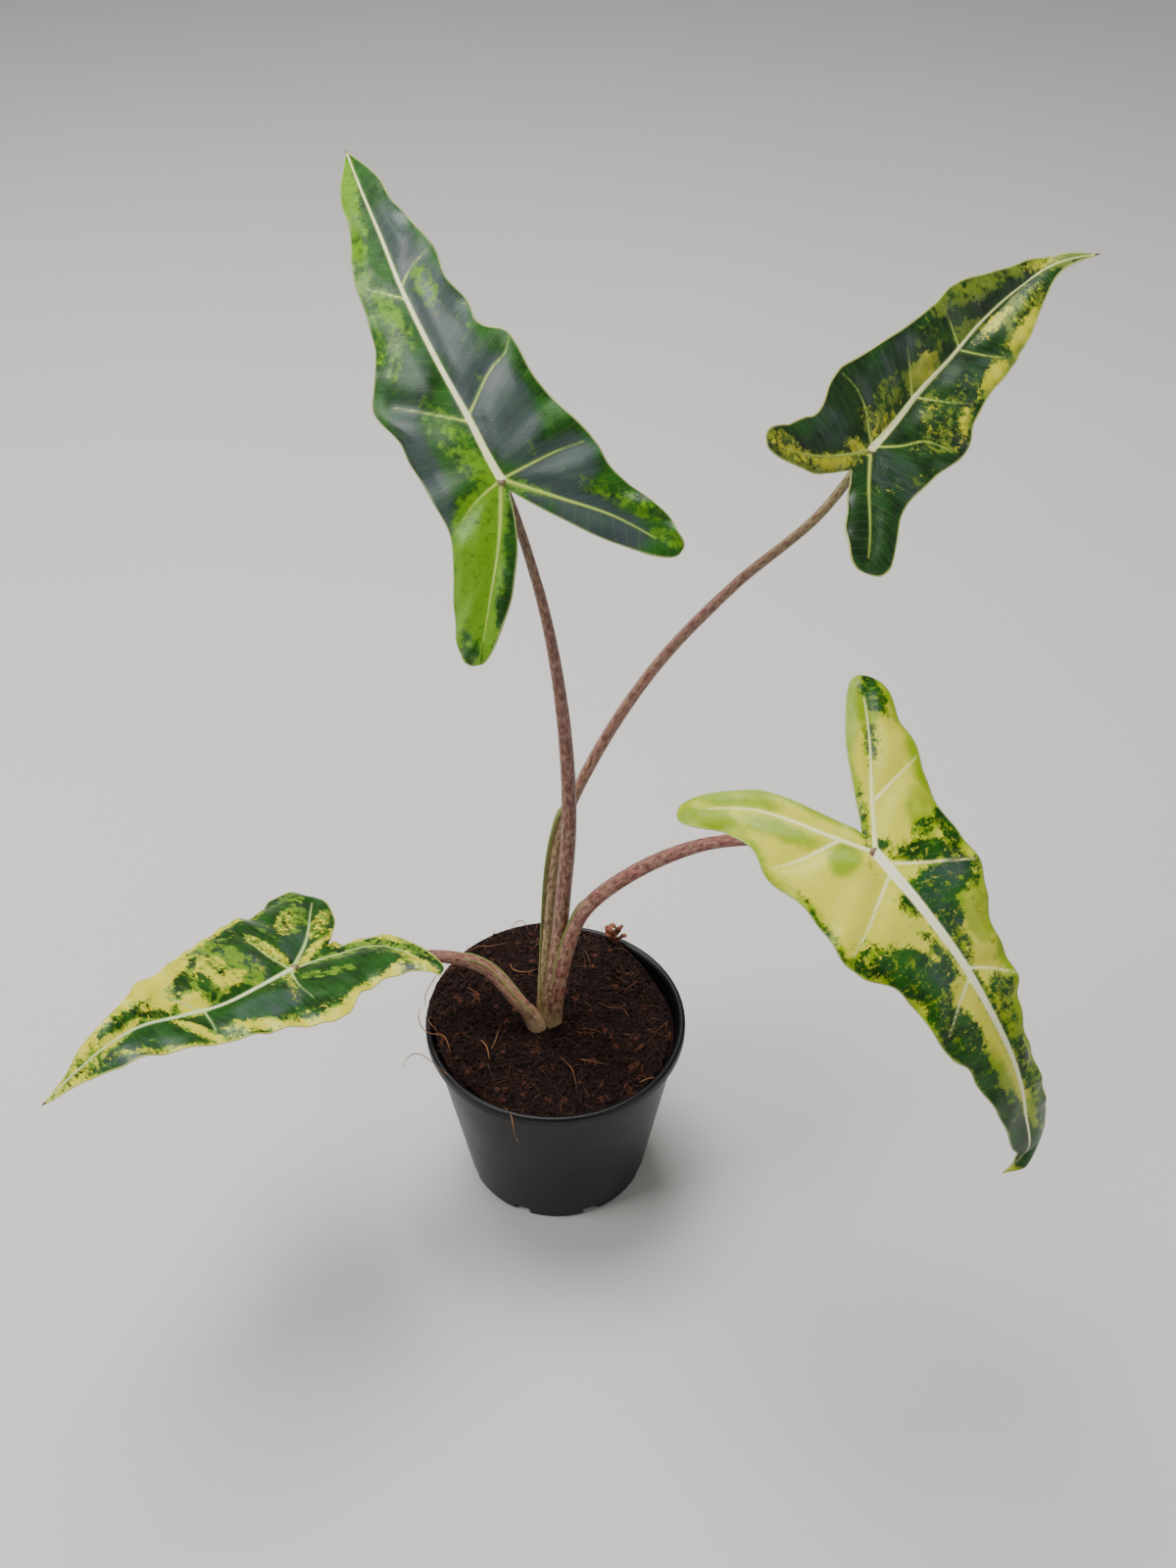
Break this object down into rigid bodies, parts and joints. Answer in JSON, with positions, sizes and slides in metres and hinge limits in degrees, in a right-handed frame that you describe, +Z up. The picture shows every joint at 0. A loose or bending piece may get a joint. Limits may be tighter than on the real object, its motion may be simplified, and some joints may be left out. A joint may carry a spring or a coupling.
{
  "type": "potted sarian alocasia",
  "caption": "House plant with long arrow-shaped leaves, green marbled with cream and yellow, on bent stalks in a round black plastic nursery pot filled with coir and peat.",
  "frame": {"origin": "centre of the pot's flat base, on the surface it stands on", "axes": "+Z up along the pot's axis; -Y towards the viewer of the picture; +X to the picture's right"},
  "size_m": [0.3948, 0.2434, 0.4611],
  "materials": {
    "pot_plastic": "black moulded plastic, satin",
    "coir_peat": null,
    "corm_bark": "matt, ringed and fibrous",
    "leaf_stalk": null,
    "leaf_1": null,
    "leaf_2": null,
    "leaf_3": null,
    "leaf_4": null
  },
  "bodies": {
    "root": {"pot": "pot_plastic", "soil": "coir_peat", "corm": "corm_bark", "petiole_1": "leaf_stalk", "petiole_2": "leaf_stalk", "petiole_3": "leaf_stalk", "petiole_4": "leaf_stalk", "leaf_blade_1": "leaf_1", "leaf_blade_2": "leaf_2", "leaf_blade_3": "leaf_3", "leaf_blade_4": "leaf_4"}
  },
  "joints": []
}
